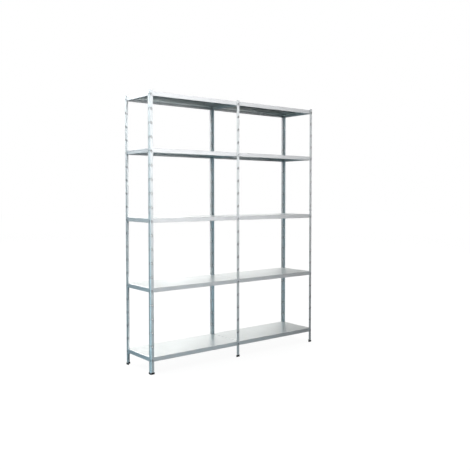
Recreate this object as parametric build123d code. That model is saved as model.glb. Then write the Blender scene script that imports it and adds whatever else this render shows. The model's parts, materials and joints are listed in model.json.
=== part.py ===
"""Boltless steel shelving, two bays side by side, five shelf levels.

Six slotted angle uprights stand on plastic feet. At every level each bay is framed by
hooked beams, whose tongues drop into slanted slots in the uprights, and a folded steel
deck lies loose on the ledges of its four beams. The two middle uprights and the middle
cross beams are shared by both bays.

Frame: millimetres, +X along the bays, -Y to the front, +Z up. The origin is on the floor,
at the centre of the footprint.
"""
import os
from math import cos, radians, sin

from build123d import *

# Layout of the whole unit
HALF_WIDTH = 1015.0  # centre to the outer face of the end uprights
HALF_DEPTH = 225.0  # centre to the outer face of the front and rear uprights
MIDDLE_CORNER_X = 2.5  # outer face of the shared uprights, which makes both decks equal

# Uprights: rolled angles with one row of slanted slots in each flange
UPRIGHT_FLANGE = 33.0
UPRIGHT_SHEET = 2.0
UPRIGHT_BEND = 3.0
UPRIGHT_INNER_BEND = 1.0
UPRIGHT_EDGE = 0.6
UPRIGHT_TOP = 2540.0
UPRIGHT_TOP_CORNER = 4.0
SLOT_COUNT = 20
SLOT_PITCH = 125.0
SLOT_FIRST = 125.0
SLOT_LENGTH = 18.0
SLOT_WIDTH = 7.0
SLOT_TILT = 35.0  # degrees from vertical, the lower end further from the corner
SLOT_FROM_CORNER = 15.5
LEVEL_ROWS = (0, 5, 10, 15, 19)  # the slot rows that carry shelves, lowest first

# Beams: one folded sheet with a doubled upper edge, a ledge for the deck and a lower lip
BEAM_SHEET = 1.5
BEAM_BELOW_SLOT = 11.0
BEAM_ABOVE_SLOT = 27.0
BEAM_LEDGE = 12.5
BEAM_LIP = 10.0
BEAM_BEND = 1.4
BEAM_INNER_BEND = 0.5
BEAM_END_PLAY = 0.5
BEAM_FOLDS_FROM_CORNER = 36.0  # the folds stop clear of the upright's flange

# Flat tabs that carry the tongues beyond the folds
TAB_RELIEF = 1.6  # how far a tab's edges stand in from the beam's top and bottom
TAB_CORNER = 3.0

# Hook tongues on the beam ends, seated at the lower end of their slots
TONGUE_LENGTH = 9.0
TONGUE_WIDTH = 6.0
TONGUE_PLAY = 0.3
HEAD_LENGTH = 12.5
HEAD_THICK = 1.5
HEAD_GAP = 0.1
HEAD_EDGE = 0.4

# End plates, which hang the second bay's long beams on the middle cross beams' tongues
END_PLATE_DEPTH = 27.0
END_PLATE_TOP = 11.5

# Decks: shallow folded trays, flush with the tops of the beams
DECK_HEIGHT = 15.0
DECK_SHEET = 0.8
DECK_PLAY = 0.5
DECK_REST_GAP = 0.2
DECK_RETURN = 9.0
DECK_CORNER = 2.5
DECK_TOP_BEND = 1.2

# Feet: angle-shaped plastic shoes pushed onto the uprights
FOOT_HEIGHT = 17.0
FOOT_SOLE = 5.0
FOOT_WALL = 3.5
FOOT_PLAY = 0.2
FOOT_CORNER = 5.0
FOOT_EDGE = 2.0
FOOT_RIM = 0.8
FOOT_SOLE_CHAMFER = 0.6

# Worked-out sizes
TAB_TOP = BEAM_ABOVE_SLOT - TAB_RELIEF
TAB_BOTTOM = TAB_RELIEF - BEAM_BELOW_SLOT
LEDGE_TOP = BEAM_ABOVE_SLOT - DECK_HEIGHT
BEAM_END_GAP = UPRIGHT_SHEET + BEAM_SHEET + BEAM_END_PLAY
DECK_INSET = UPRIGHT_SHEET + 2 * BEAM_SHEET + DECK_PLAY
CUTTER_MARGIN = 1.0


def row_height(row):
    """Height of a slot row's centre above the floor."""
    return SLOT_FIRST + row * SLOT_PITCH


def angle_outline(flange, sheet, offset, outer, inner, edge):
    """An L outline with its corner at the origin, grown all round by offset."""
    low = -offset
    high = flange + offset
    thick = sheet + offset
    points = [(low, low), (high, low), (high, thick), (thick, thick), (thick, high), (low, high)]
    return make_face(FilletPolyline(*points, radius=[outer, edge, edge, inner, edge, edge], close=True))


def slanted_slot(length, width, drop, hand):
    """An obround on the slots' slant, moved down the slant by drop.

    hand is 1 where the corner is on the left of the slot, and -1 where it is on the right.
    """
    tilt = radians(SLOT_TILT)
    moved = Pos(hand * drop * sin(tilt), -drop * cos(tilt))
    return moved * SlotOverall(length, width, rotation=hand * (SLOT_TILT - 90))


def slot_cutters():
    """One cutter for each slot in the flange along +X."""
    rows = [row_height(row) for row in range(SLOT_COUNT)]
    slot = slanted_slot(SLOT_LENGTH, SLOT_WIDTH, 0, 1)
    plane = Plane.XZ.offset(CUTTER_MARGIN)
    depth = UPRIGHT_SHEET + 2 * CUTTER_MARGIN
    return [extrude(plane * Pos(SLOT_FROM_CORNER, z) * slot, amount=-depth) for z in rows]


def top_corner_cutter():
    """What is cut away to round the free top corner of the flange along +X."""
    centre = Pos(UPRIGHT_FLANGE - UPRIGHT_TOP_CORNER, UPRIGHT_TOP - UPRIGHT_TOP_CORNER)
    side = UPRIGHT_TOP_CORNER + CUTTER_MARGIN
    corner = centre * (Rectangle(side, side, align=(Align.MIN, Align.MIN)) - Circle(UPRIGHT_TOP_CORNER))
    depth = UPRIGHT_SHEET + 2 * CUTTER_MARGIN
    return extrude(Plane.XZ.offset(CUTTER_MARGIN) * corner, amount=-depth)


def upright():
    """An upright with its corner on the Z axis and its flanges along +X and +Y."""
    outline = angle_outline(
        UPRIGHT_FLANGE, UPRIGHT_SHEET, 0, UPRIGHT_BEND, UPRIGHT_INNER_BEND, UPRIGHT_EDGE
    )
    body = Pos(0, 0, FOOT_SOLE) * extrude(outline, amount=UPRIGHT_TOP - FOOT_SOLE)
    diagonal = Plane(origin=(0, 0, 0), z_dir=(1, -1, 0))
    for cutter in slot_cutters() + [top_corner_cutter()]:
        body -= cutter
        body -= mirror(cutter, about=diagonal)
    return body


def foot():
    """A shoe for the upright above, with a solid sole."""
    outer = angle_outline(
        UPRIGHT_FLANGE, UPRIGHT_SHEET, FOOT_WALL, FOOT_CORNER, FOOT_EDGE, FOOT_EDGE
    )
    socket = angle_outline(
        UPRIGHT_FLANGE, UPRIGHT_SHEET, FOOT_PLAY, UPRIGHT_BEND, UPRIGHT_EDGE, UPRIGHT_EDGE
    )
    shoe = extrude(outer, amount=FOOT_HEIGHT)
    shoe = chamfer(shoe.edges().group_by(Axis.Z)[0], FOOT_SOLE_CHAMFER)
    shoe -= Pos(0, 0, FOOT_SOLE) * extrude(socket, amount=FOOT_HEIGHT)
    return fillet(shoe.edges().group_by(Axis.Z)[-1], FOOT_RIM)


def folded_section():
    """The beam's section in its Y-Z plane: lip, web, ledge and doubled upper edge."""
    bottom = -BEAM_BELOW_SLOT
    ledge_edge = 2 * BEAM_SHEET + BEAM_LEDGE
    points = [
        (0, bottom),
        (BEAM_LIP, bottom),
        (BEAM_LIP, bottom + BEAM_SHEET),
        (BEAM_SHEET, bottom + BEAM_SHEET),
        (BEAM_SHEET, LEDGE_TOP - BEAM_SHEET),
        (ledge_edge, LEDGE_TOP - BEAM_SHEET),
        (ledge_edge, LEDGE_TOP),
        (2 * BEAM_SHEET, LEDGE_TOP),
        (2 * BEAM_SHEET, BEAM_ABOVE_SLOT),
        (0, BEAM_ABOVE_SLOT),
    ]
    radii = [BEAM_BEND, 0, 0, 0, BEAM_INNER_BEND, 0, 0, BEAM_INNER_BEND, BEAM_BEND, BEAM_BEND]
    return make_face(FilletPolyline(*points, radius=radii, close=True))


def outer_ledge_section():
    """The extra angle on the outer side of a middle cross beam, for the second bay's deck."""
    ledge_edge = -BEAM_SHEET - BEAM_LEDGE
    points = [
        (0, LEDGE_TOP - BEAM_SHEET),
        (0, BEAM_ABOVE_SLOT),
        (-BEAM_SHEET, BEAM_ABOVE_SLOT),
        (-BEAM_SHEET, LEDGE_TOP),
        (ledge_edge, LEDGE_TOP),
        (ledge_edge, LEDGE_TOP - BEAM_SHEET),
    ]
    radii = [0, 0, BEAM_BEND, BEAM_INNER_BEND, 0, 0]
    return make_face(FilletPolyline(*points, radius=radii, close=True))


def along_x(section, start, end):
    """A Y-Z section run along X from start to end."""
    return Pos(start, 0, 0) * extrude(Plane.YZ * section, amount=end - start)


def end_tab(end, inward):
    """The flat tab from a beam's end to its folds. inward is 1 at the left end and -1 at the right."""
    length = BEAM_FOLDS_FROM_CORNER - BEAM_END_GAP + TAB_CORNER
    outline = RectangleRounded(length, TAB_TOP - TAB_BOTTOM, TAB_CORNER)
    centre = Pos(end + inward * length / 2, 0, (TAB_TOP + TAB_BOTTOM) / 2)
    return centre * extrude(Plane.XZ * outline, amount=-BEAM_SHEET)


def tongue(x, hand, reach):
    """A hook: a neck through the slot, then a head that overhangs the slot's lower end."""
    neck_drop = (SLOT_LENGTH - TONGUE_LENGTH) / 2 - TONGUE_PLAY
    head_drop = neck_drop + (HEAD_LENGTH - TONGUE_LENGTH) / 2
    neck = slanted_slot(TONGUE_LENGTH, TONGUE_WIDTH, neck_drop, hand)
    head = slanted_slot(HEAD_LENGTH, TONGUE_WIDTH, head_drop, hand)
    hook = extrude(Plane.XZ * neck, amount=reach)
    cap = extrude(Plane.XZ.offset(reach) * head, amount=HEAD_THICK)
    cap = fillet(cap.edges().group_by(Axis.Y)[0], HEAD_EDGE)
    return Pos(x, 0, 0) * (hook + cap)


def hooked_end(corner, inward, reach):
    """A tab and its tongue, for the upright whose corner is at this X."""
    tab = end_tab(corner + inward * BEAM_END_GAP, inward)
    return tab + tongue(corner + inward * SLOT_FROM_CORNER, inward, reach)


def plated_end(corner):
    """The left end of a second-bay beam: a tab, and a slotted plate folded back from it."""
    points = [
        (0, 0),
        (SLOT_FROM_CORNER, 0),
        (SLOT_FROM_CORNER, BEAM_SHEET),
        (BEAM_SHEET, BEAM_SHEET),
        (BEAM_SHEET, END_PLATE_DEPTH),
        (0, END_PLATE_DEPTH),
    ]
    radii = [BEAM_BEND, 0, 0, BEAM_INNER_BEND, 0, 0]
    outline = make_face(FilletPolyline(*points, radius=radii, close=True))
    folded = Pos(0, 0, TAB_BOTTOM) * extrude(outline, amount=END_PLATE_TOP - TAB_BOTTOM)
    slot = Pos(SLOT_FROM_CORNER - UPRIGHT_SHEET, 0) * slanted_slot(SLOT_LENGTH, SLOT_WIDTH, 0, 1)
    cutter = extrude(Plane.YZ.offset(-CUTTER_MARGIN) * slot, amount=BEAM_SHEET + 2 * CUTTER_MARGIN)
    return end_tab(corner + BEAM_END_GAP, 1) + Pos(corner, 0, 0) * (folded - cutter)


def hooked_beam(start, end, reach):
    """A beam between two upright corners at start and end, hooked at both ends."""
    beam = along_x(folded_section(), start + BEAM_FOLDS_FROM_CORNER, end - BEAM_FOLDS_FROM_CORNER)
    return beam + hooked_end(start, 1, reach) + hooked_end(end, -1, reach)


def plated_beam(start, end, reach):
    """A long beam of the second bay: an end plate on the left, a hook on the right."""
    beam = along_x(folded_section(), start + BEAM_FOLDS_FROM_CORNER, end - BEAM_FOLDS_FROM_CORNER)
    return beam + plated_end(start) + hooked_end(end, -1, reach)


def shared_cross_beam(reach):
    """The middle cross beam, with a ledge on each side and tongues long enough for two sheets."""
    beam = hooked_beam(-HALF_DEPTH, HALF_DEPTH, reach + BEAM_SHEET)
    fold_end = HALF_DEPTH - BEAM_FOLDS_FROM_CORNER
    return beam + along_x(outer_ledge_section(), -fold_end, fold_end)


def deck():
    """A tray with its top at Z = 0, centred on the origin, open underneath."""
    width = HALF_WIDTH - MIDDLE_CORNER_X - DECK_INSET - DECK_PLAY
    depth = 2 * (HALF_DEPTH - DECK_INSET)
    height = DECK_HEIGHT - DECK_REST_GAP
    tray = extrude(RectangleRounded(width, depth, DECK_CORNER), amount=-height)
    tray = fillet(tray.edges().group_by(Axis.Z)[-1], DECK_TOP_BEND)
    inner = RectangleRounded(width - 2 * DECK_SHEET, depth - 2 * DECK_SHEET, DECK_CORNER - DECK_SHEET)
    hollow = extrude(inner, amount=-(height - 2 * DECK_SHEET))
    mouth = Rectangle(width - 2 * DECK_RETURN, depth - 2 * DECK_RETURN)
    tray -= Pos(0, 0, -DECK_SHEET) * hollow
    tray -= Pos(0, 0, -DECK_SHEET) * extrude(mouth, amount=-height)
    return tray


def save(shape, name):
    """Write one named piece."""
    export_step(shape, os.path.join("parts", name + ".step"))


def save_front_and_rear(beam, bay, level):
    """Write a front long beam and its mirror image at the rear."""
    save(beam, f"long_beam_front_{bay}_{level}")
    save(mirror(beam, about=Plane.XZ), f"long_beam_rear_{bay}_{level}")


os.makedirs("parts", exist_ok=True)

columns = {"left": -HALF_WIDTH, "middle": MIDDLE_CORNER_X, "right": HALF_WIDTH}
turns = {
    ("front", "left"): 0,
    ("front", "middle"): 90,
    ("front", "right"): 90,
    ("rear", "left"): -90,
    ("rear", "middle"): 180,
    ("rear", "right"): 180,
}
one_upright = upright()
one_foot = foot()
for (row, column), turn in turns.items():
    corner_y = -HALF_DEPTH if row == "front" else HALF_DEPTH
    place = Pos(columns[column], corner_y) * Rot(0, 0, turn)
    save(place * one_upright, f"upright_{row}_{column}")
    save(place * one_foot, f"foot_{row}_{column}")

hook_reach = UPRIGHT_SHEET + HEAD_GAP
inner_face = UPRIGHT_SHEET
starter_beam = hooked_beam(-HALF_WIDTH, MIDDLE_CORNER_X, hook_reach)
second_beam = plated_beam(MIDDLE_CORNER_X, HALF_WIDTH, hook_reach)
end_cross_beam = hooked_beam(-HALF_DEPTH, HALF_DEPTH, hook_reach)
middle_cross_beam = shared_cross_beam(hook_reach)
one_deck = deck()
deck_centre = (MIDDLE_CORNER_X + DECK_PLAY + HALF_WIDTH - DECK_INSET) / 2

for level, slot_row in enumerate(LEVEL_ROWS, start=1):
    height = row_height(slot_row)
    front = Pos(0, inner_face - HALF_DEPTH, height)
    save_front_and_rear(front * starter_beam, "left", level)
    save_front_and_rear(front * second_beam, "right", level)
    left_end = Pos(inner_face - HALF_WIDTH, 0, height) * Rot(0, 0, -90)
    middle = Pos(MIDDLE_CORNER_X - inner_face, 0, height) * Rot(0, 0, 90)
    right_end = Pos(HALF_WIDTH - inner_face, 0, height) * Rot(0, 0, 90)
    save(left_end * end_cross_beam, f"cross_beam_left_{level}")
    save(middle * middle_cross_beam, f"cross_beam_middle_{level}")
    save(right_end * end_cross_beam, f"cross_beam_right_{level}")
    deck_top = height + BEAM_ABOVE_SLOT
    save(Pos(-deck_centre, 0, deck_top) * one_deck, f"deck_left_{level}")
    save(Pos(deck_centre, 0, deck_top) * one_deck, f"deck_right_{level}")
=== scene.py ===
"""Looks for the two-bay boltless steel shelving: materials, floor, lights and camera.

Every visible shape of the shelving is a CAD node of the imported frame. This script gives
each one its galvanised steel or moulded plastic finish and lights the unit in a studio.
Lengths are in metres and angles in degrees, unless a comment says otherwise.
"""
import json
from math import cos, radians, sin

import bpy
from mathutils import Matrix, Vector


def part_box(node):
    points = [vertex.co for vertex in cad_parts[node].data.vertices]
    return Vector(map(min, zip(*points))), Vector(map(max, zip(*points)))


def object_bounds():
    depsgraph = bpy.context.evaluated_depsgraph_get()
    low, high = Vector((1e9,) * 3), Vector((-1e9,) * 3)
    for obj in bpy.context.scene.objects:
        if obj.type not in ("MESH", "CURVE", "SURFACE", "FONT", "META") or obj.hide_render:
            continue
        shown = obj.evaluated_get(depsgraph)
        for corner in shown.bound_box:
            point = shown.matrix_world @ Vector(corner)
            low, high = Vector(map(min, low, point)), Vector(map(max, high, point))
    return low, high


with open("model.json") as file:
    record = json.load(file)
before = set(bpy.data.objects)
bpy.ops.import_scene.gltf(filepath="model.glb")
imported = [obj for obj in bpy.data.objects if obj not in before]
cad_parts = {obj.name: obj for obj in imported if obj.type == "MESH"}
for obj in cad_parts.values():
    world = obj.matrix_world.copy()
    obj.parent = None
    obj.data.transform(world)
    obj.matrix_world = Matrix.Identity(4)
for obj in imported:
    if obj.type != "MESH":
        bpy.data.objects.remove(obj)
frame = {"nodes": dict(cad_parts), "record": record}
cad_low, cad_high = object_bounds()

# Camera: eye height, in front of the left end
CAMERA_PLACE = (-3.843, -4.981, 1.6135)
CAMERA_YAW = 38.546  # from +Y towards +X
CAMERA_PITCH = -2.325
CAMERA_LENS = 47.37  # millimetres, as the sensor's width is
CAMERA_SENSOR = 36.0
CAMERA_SHIFT_Y = -0.0322

# The uprights' flanges and punched slots, as the frame has them
FLANGE = 0.033
SLOT_PITCH = 0.125
SLOT_FROM_CORNER = 0.0155
SLOT_LENGTH = 0.018
SLOT_WIDTH = 0.007
SLOT_TILT = 35
SLOT_LOWEST = 0.08  # below this height there are no slots

# Painted shade round and in the slots and on the shared beams' upper edges, and darker worn cut
# flange edges
SHADE_AND_CUT_EDGE_STEEL = (0.015, 0.0155, 0.016)
SHADE_AND_EDGE_ROUGHNESS = 0.15  # what full darkening adds to the sheet's own roughness
SLOT_SHADE_FADE = (0.0004, 0.0066)  # how far from a slot's edge the painted shade starts to fade, and ends
SLOT_SHADE_RAGGED = 0.0012  # how far that outline wanders
SLOT_SHADE_RAGGED_SCALE = 420.0
CUT_EDGE = 0.0008  # width of the rubbed strip along a flange's edge
CUT_EDGE_RUB = 0.6
JOINT_SHADE_NORMALS = (0.05, 0.4)  # how far up a beam's surface faces where the painted shade starts, and is full

# Zinc: texture scales, and how much each one changes the tone and the roughness
SPANGLE_SCALE = 230.0
PATCH_SCALE = 9.0
ROLLING_SCALE = 60.0
SPANGLE_TONE = (0.85, 1.0)
PATCH_TONE = (0.8, 1.0)
DULLING = 0.02
ROLLING_BUMP = (0.0001, 0.1)  # distance and strength
DENT_BUMP = (0.0006, 0.06)
COMMON_NOISE = (0.3, 0.7)  # the range in which most of a noise texture's values lie

# The way the sheet was rolled: the noise is drawn out along the axes with a small scale
ROLLED_UP = (1.0, 1.0, 0.02)
ROLLED_ALONG_BEAMS = (0.05, 0.05, 1.0)
ROLLED_ALONG_X = (0.05, 1.0, 1.0)

# Moulded plastic
PLASTIC_GRAIN_SCALE = 2600.0
PLASTIC_ROUGHNESS = (0.5, 0.68)
PLASTIC_BUMP = (0.0001, 0.4)
PLASTIC_BLACK = 0.004
DUST_GREY = 0.016
DUST_SCALE = 90.0
DUST_AMOUNT = 0.5
DUST_NOISE = (0.5, 0.8)  # only the peaks of the noise are dusty

# Studio
FLOOR_SIZE = 80.0
FLOOR_GAP = 0.0005
FLOOR_GREY = 0.04
FLOOR_GLOW = 0.95
FLOOR_FADE = (4.0, 25.0)  # where the floor starts and ends turning into the backdrop
WHITE = (1.0, 1.0, 1.0)
COOL = (0.66, 0.91, 1.0)
BLUE = (0.5, 0.84, 1.0)


class Nodes:
    """A small helper that adds and links shader nodes of one material."""

    def __init__(self, name):
        self.material = bpy.data.materials.new(name)
        self.material.use_nodes = True
        self.tree = self.material.node_tree
        self.tree.nodes.clear()
        self.output = self.add("ShaderNodeOutputMaterial")
        self.shader = self.add("ShaderNodeBsdfPrincipled")
        self.link(self.shader.outputs["BSDF"], self.output.inputs["Surface"])

    def add(self, kind, **values):
        node = self.tree.nodes.new(kind)
        for name, value in values.items():
            setattr(node, name, value)
        return node

    def link(self, source, target):
        self.tree.links.new(source, target)

    def feed(self, target, value):
        """Set an input to a constant, or link it to another node's output."""
        if isinstance(value, bpy.types.NodeSocket):
            self.link(value, target)
        else:
            target.default_value = value

    def position(self, scale=(1, 1, 1)):
        """Object coordinates in metres, stretched by scale."""
        coordinates = self.add("ShaderNodeTexCoord")
        mapping = self.add("ShaderNodeMapping")
        mapping.inputs["Scale"].default_value = scale
        self.link(coordinates.outputs["Object"], mapping.inputs["Vector"])
        return mapping.outputs["Vector"]

    def split(self, vector):
        """The X, Y and Z of a vector."""
        node = self.add("ShaderNodeSeparateXYZ")
        self.link(vector, node.inputs["Vector"])
        return node.outputs["X"], node.outputs["Y"], node.outputs["Z"]

    def noise(self, vector, scale, detail):
        node = self.add("ShaderNodeTexNoise")
        self.link(vector, node.inputs["Vector"])
        node.inputs["Scale"].default_value = scale
        node.inputs["Detail"].default_value = detail
        return node.outputs["Fac"]

    def crystals(self, vector, scale):
        """A random grey for each cell of a Voronoi pattern, like the spangle of zinc."""
        node = self.add("ShaderNodeTexVoronoi", feature="F1")
        self.link(vector, node.inputs["Vector"])
        node.inputs["Scale"].default_value = scale
        grey = self.add("ShaderNodeSeparateColor")
        self.link(node.outputs["Color"], grey.inputs["Color"])
        return grey.outputs["Red"]

    def remap(self, value, low, high, from_low=0.0, from_high=1.0):
        """Turn the range from_low to from_high into low to high, and clamp the rest."""
        node = self.add("ShaderNodeMapRange")
        self.feed(node.inputs["Value"], value)
        node.inputs["From Min"].default_value = from_low
        node.inputs["From Max"].default_value = from_high
        node.inputs["To Min"].default_value = low
        node.inputs["To Max"].default_value = high
        return node.outputs["Result"]

    def math(self, operation, *values):
        node = self.add("ShaderNodeMath", operation=operation)
        for socket, value in zip(node.inputs, values):
            self.feed(socket, value)
        return node.outputs["Value"]

    def blend(self, factor, a, b):
        """Mix two colours."""
        node = self.add("ShaderNodeMix", data_type="RGBA")
        self.feed(node.inputs["Factor"], factor)
        self.feed(node.inputs["A"], a)
        self.feed(node.inputs["B"], b)
        return node.outputs["Result"]

    def bump(self, height, distance, strength, below=None):
        """A normal from a height, on top of the normal from below if there is one."""
        node = self.add("ShaderNodeBump")
        node.inputs["Distance"].default_value = distance
        node.inputs["Strength"].default_value = strength
        self.link(height, node.inputs["Height"])
        if below is not None:
            self.link(below, node.inputs["Normal"])
        return node.outputs["Normal"]


def colour(red, green, blue):
    return (red, green, blue, 1.0)


def grey(value):
    return colour(value, value, value)


def slot_distance(n, across, z):
    """Distance from the line down the middle of the nearest slot, whose ends are round.

    across is the distance from the upright's corner along the flange, and z is the height.
    """
    along_x, along_z = sin(radians(SLOT_TILT)), cos(radians(SLOT_TILT))
    right = n.math("SUBTRACT", across, SLOT_FROM_CORNER)
    up = n.math("WRAP", z, SLOT_PITCH / 2, -SLOT_PITCH / 2)
    along = n.math(
        "SUBTRACT", n.math("MULTIPLY", right, along_x), n.math("MULTIPLY", up, along_z)
    )
    beside = n.math("ADD", n.math("MULTIPLY", right, along_z), n.math("MULTIPLY", up, along_x))
    past_end = n.math("SUBTRACT", n.math("ABSOLUTE", along), (SLOT_LENGTH - SLOT_WIDTH) / 2)
    past_end = n.math("MAXIMUM", past_end, 0.0)
    squares = n.math("ADD", n.math("POWER", past_end, 2.0), n.math("POWER", beside, 2.0))
    return n.math("SQRT", squares)


def slot_shade_and_cut_edges(n, corner_x, corner_y):
    """How dark an upright is painted, 0 to 1: painted shade round and in its slots, and worn cut
    flange edges.

    The slots' middles are on one line down each flange, so the distance from the corner along
    either flange, and the height within the slot pitch, say where a point is from its slot.
    """
    vector = n.position()
    x, y, z = n.split(vector)
    from_side = n.math("ABSOLUTE", n.math("SUBTRACT", x, corner_x))
    from_face = n.math("SUBTRACT", corner_y, n.math("ABSOLUTE", y))
    across = n.math("MAXIMUM", from_side, from_face)
    distance = slot_distance(n, across, z)
    wander = n.noise(vector, SLOT_SHADE_RAGGED_SCALE, detail=3.0)
    ragged = n.remap(wander, -SLOT_SHADE_RAGGED, SLOT_SHADE_RAGGED, *COMMON_NOISE)
    from_edge = n.math("SUBTRACT", n.math("ADD", distance, ragged), SLOT_WIDTH / 2)
    # painted shade: the slot and a ragged ring round it turn near-black, like a shaded hollow
    darkening = n.remap(from_edge, 1.0, 0.0, *SLOT_SHADE_FADE)
    darkening = n.math("MULTIPLY", darkening, n.math("GREATER_THAN", z, SLOT_LOWEST))
    cut = n.remap(across, 0.0, CUT_EDGE_RUB, FLANGE - CUT_EDGE, FLANGE)
    return n.math("MAXIMUM", darkening, cut)


def painted_joint_shade(n):
    """How dark a middle cross beam is painted, 0 to 1: painted shade on its upper edge, in the
    joint where both decks drop in.
    """
    facing = n.split(n.add("ShaderNodeNewGeometry").outputs["Normal"])
    return n.remap(facing[2], 0.0, 1.0, *JOINT_SHADE_NORMALS)


def galvanised(name, dark, light, roughness, rolled, shade_and_wear=None):
    """Zinc-coated sheet: crystal spangle, faint rolling lines, dull patches and fine dents.

    The optional function adds nodes which say how far the sheet turns to near-black steel, 0 to 1:
    painted shade, and on the uprights also worn cut edges.
    """
    n = Nodes(name)
    vector = n.position()
    spangle = n.crystals(vector, SPANGLE_SCALE)
    patches = n.noise(vector, PATCH_SCALE, detail=3.0)
    lines = n.noise(n.position(rolled), ROLLING_SCALE, detail=2.0)
    patch_tone = n.remap(patches, *PATCH_TONE, *COMMON_NOISE)
    tone = n.math("MULTIPLY", n.remap(spangle, *SPANGLE_TONE), patch_tone)
    zinc = n.blend(tone, colour(*dark), colour(*light))
    dull = n.math(
        "ADD", n.remap(spangle, -DULLING, DULLING), n.remap(lines, -DULLING, DULLING)
    )
    if shade_and_wear:
        # painted shade, and worn cut edges on the uprights, blend the zinc into near-black steel
        darkening = shade_and_wear(n)
        zinc = n.blend(darkening, zinc, colour(*SHADE_AND_CUT_EDGE_STEEL))
        dull = n.math("ADD", dull, n.math("MULTIPLY", darkening, SHADE_AND_EDGE_ROUGHNESS))
    n.link(zinc, n.shader.inputs["Base Color"])
    n.link(n.math("ADD", dull, roughness), n.shader.inputs["Roughness"])
    n.shader.inputs["Metallic"].default_value = 1.0
    fine = n.bump(lines, *ROLLING_BUMP)
    n.link(n.bump(patches, *DENT_BUMP, below=fine), n.shader.inputs["Normal"])
    return n.material


def moulded_plastic(name):
    """Black plastic with a fine spark-eroded grain and a little dust on it."""
    n = Nodes(name)
    vector = n.position()
    grain = n.noise(vector, PLASTIC_GRAIN_SCALE, detail=1.0)
    dust = n.noise(vector, DUST_SCALE, detail=4.0)
    dusty = n.remap(dust, 0.0, DUST_AMOUNT, *DUST_NOISE)
    n.link(n.blend(dusty, grey(PLASTIC_BLACK), grey(DUST_GREY)), n.shader.inputs["Base Color"])
    n.link(n.remap(grain, *PLASTIC_ROUGHNESS), n.shader.inputs["Roughness"])
    n.shader.inputs["Specular IOR Level"].default_value = 0.3
    n.link(n.bump(grain, *PLASTIC_BUMP), n.shader.inputs["Normal"])
    return n.material


def upright_zinc(column):
    """The zinc of a column's two uprights, whose slots are the same distance from their corners."""
    low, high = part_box(f"upright_front_{column}")
    corner_x = low[0] if column == "left" else high[0]

    # painted shade round and in the slots, and worn cut edges
    def shade_and_wear(n):
        return slot_shade_and_cut_edges(n, corner_x, -low[1])

    dark, light = (0.34, 0.36, 0.37), (0.5, 0.52, 0.53)
    return galvanised(f"upright_zinc_{column}", dark, light, 0.46, ROLLED_UP, shade_and_wear)


def beam_zinc(name, shade_and_wear=None):
    dark, light = (0.36, 0.37, 0.38), (0.52, 0.53, 0.54)
    return galvanised(name, dark, light, 0.46, ROLLED_ALONG_BEAMS, shade_and_wear)


def deck_zinc():
    dark, light = (0.59, 0.62, 0.61), (0.77, 0.8, 0.79)
    return galvanised("deck_zinc", dark, light, 0.34, ROLLED_ALONG_X)


def dress():
    """Give every CAD node the finish of its material slot, with the painted shade and worn cut
    edges of its own place.
    """
    columns = {column: upright_zinc(column) for column in ("left", "middle", "right")}
    finishes = {
        "beam_steel": beam_zinc("beam_zinc"),
        "deck_steel": deck_zinc(),
        "foot_plastic": moulded_plastic("foot_black"),
    }
    # the middle cross beams carry painted shade on their upper edges, in the joint between the
    # decks
    joint_beam = beam_zinc("joint_beam_zinc", painted_joint_shade)
    for part in frame["record"]["subparts"]:
        name, slot = part["node"], part["material_slot"]
        if slot == "upright_steel":
            finish = columns[name.split("_")[-1]]
        elif name.startswith("cross_beam_middle"):
            finish = joint_beam
        else:
            finish = finishes[slot]
        node = frame["nodes"][name]
        node.data.materials.clear()
        node.data.materials.append(finish)


def stage():
    """A plain pale floor that brightens into the backdrop away from the unit.

    Only the camera sees it. The two bounce lamps stand for the light that it would send up.
    """
    bpy.ops.mesh.primitive_plane_add(size=FLOOR_SIZE, location=(0.0, 0.0, -FLOOR_GAP))
    floor = bpy.context.object
    floor.name = "floor"
    n = Nodes("floor_pale")
    n.shader.inputs["Base Color"].default_value = grey(FLOOR_GREY)
    n.shader.inputs["Roughness"].default_value = 1.0
    n.shader.inputs["Specular IOR Level"].default_value = 0.0
    n.shader.inputs["Emission Color"].default_value = colour(*WHITE)
    distance = n.add("ShaderNodeVectorMath", operation="LENGTH")
    n.link(n.position(), distance.inputs[0])
    glow = n.remap(distance.outputs["Value"], FLOOR_GLOW, 1.0, *FLOOR_FADE)
    n.link(glow, n.shader.inputs["Emission Strength"])
    floor.data.materials.append(n.material)
    floor.visible_diffuse = False
    floor.visible_glossy = False
    floor.visible_shadow = False


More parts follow.
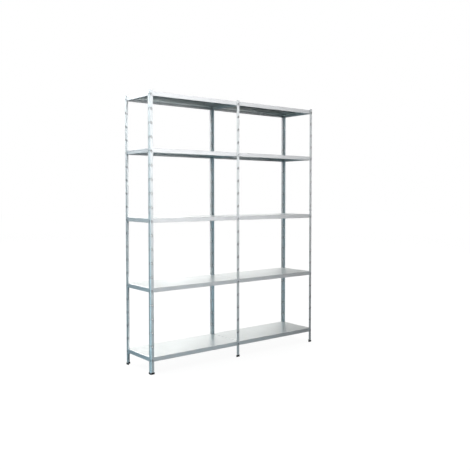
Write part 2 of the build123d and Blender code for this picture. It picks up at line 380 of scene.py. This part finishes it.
def softbox(name, azimuth, elevation, distance, width, height, power, tint=WHITE):
    """A rectangular lamp that faces the middle of the unit. Its power is in watts.

    Azimuth 0 is in front of the unit, and 90 to its right.
    """
    around, up = radians(azimuth), radians(elevation)
    away = Vector((sin(around) * cos(up), -cos(around) * cos(up), sin(up)))
    data = bpy.data.lights.new(name, "AREA")
    data.shape = "RECTANGLE"
    data.size = width
    data.size_y = height
    data.energy = power
    data.color = tint
    lamp = bpy.data.objects.new(name, data)
    lamp.location = (cad_low + cad_high) / 2 + distance * away
    lamp.rotation_euler = (-away).to_track_quat("-Z", "Y").to_euler()
    lamp.visible_camera = False
    bpy.context.scene.collection.objects.link(lamp)


def lights():
    """Softboxes all round, dimmer towards the back right, and two bounce lamps from below."""
    softbox("top", -120, 80, 12.0, 14.0, 14.0, 3420.0)
    softbox("front", 14, 11, 12.0, 11.0, 5.0, 890.0)
    softbox("front_near", 30, 5, 4.5, 2.0, 2.0, 6.0)
    softbox("front_bounce", 22, -34, 4.2, 2.5, 2.5, 12.0, COOL)
    softbox("left", -92, 2, 12.0, 6.0, 4.0, 1060.0, COOL)
    softbox("left_bounce", -80, -25, 4.0, 2.0, 2.0, 118.0, BLUE)
    softbox("right", 95, 8, 12.0, 6.0, 6.0, 300.0)
    softbox("back_left", -155, 38, 12.0, 9.0, 9.0, 2220.0)
    softbox("back", -172, 6, 12.0, 3.2, 3.6, 358.0)
    softbox("back_low", 173, 2, 12.0, 3.2, 1.6, 87.0)
    softbox("back_high", 160, 21, 12.0, 4.0, 2.6, 120.0)
    softbox("back_dim", 143, 10, 12.0, 3.2, 2.0, 43.0)
    softbox("back_right", 128, 10, 12.0, 3.2, 2.0, 21.0)


def backdrop():
    """A white world that only the camera sees."""
    world = bpy.data.worlds.new("backdrop")
    bpy.context.scene.world = world
    world.use_nodes = True
    world.node_tree.nodes["Background"].inputs["Color"].default_value = colour(*WHITE)
    for ray in ("diffuse", "glossy", "transmission", "scatter"):
        setattr(world.cycles_visibility, ray, False)


def camera():
    """The photographer's place and view."""
    data = bpy.data.cameras.new("camera")
    data.sensor_width = CAMERA_SENSOR
    data.lens = CAMERA_LENS
    data.shift_y = CAMERA_SHIFT_Y
    eye = bpy.data.objects.new("camera", data)
    eye.location = CAMERA_PLACE
    eye.rotation_euler = (radians(90 + CAMERA_PITCH), 0.0, radians(-CAMERA_YAW))
    bpy.context.scene.collection.objects.link(eye)
    bpy.context.scene.camera = eye


dress()
stage()
lights()
backdrop()
camera()
bpy.context.scene.view_settings.view_transform = "Standard"
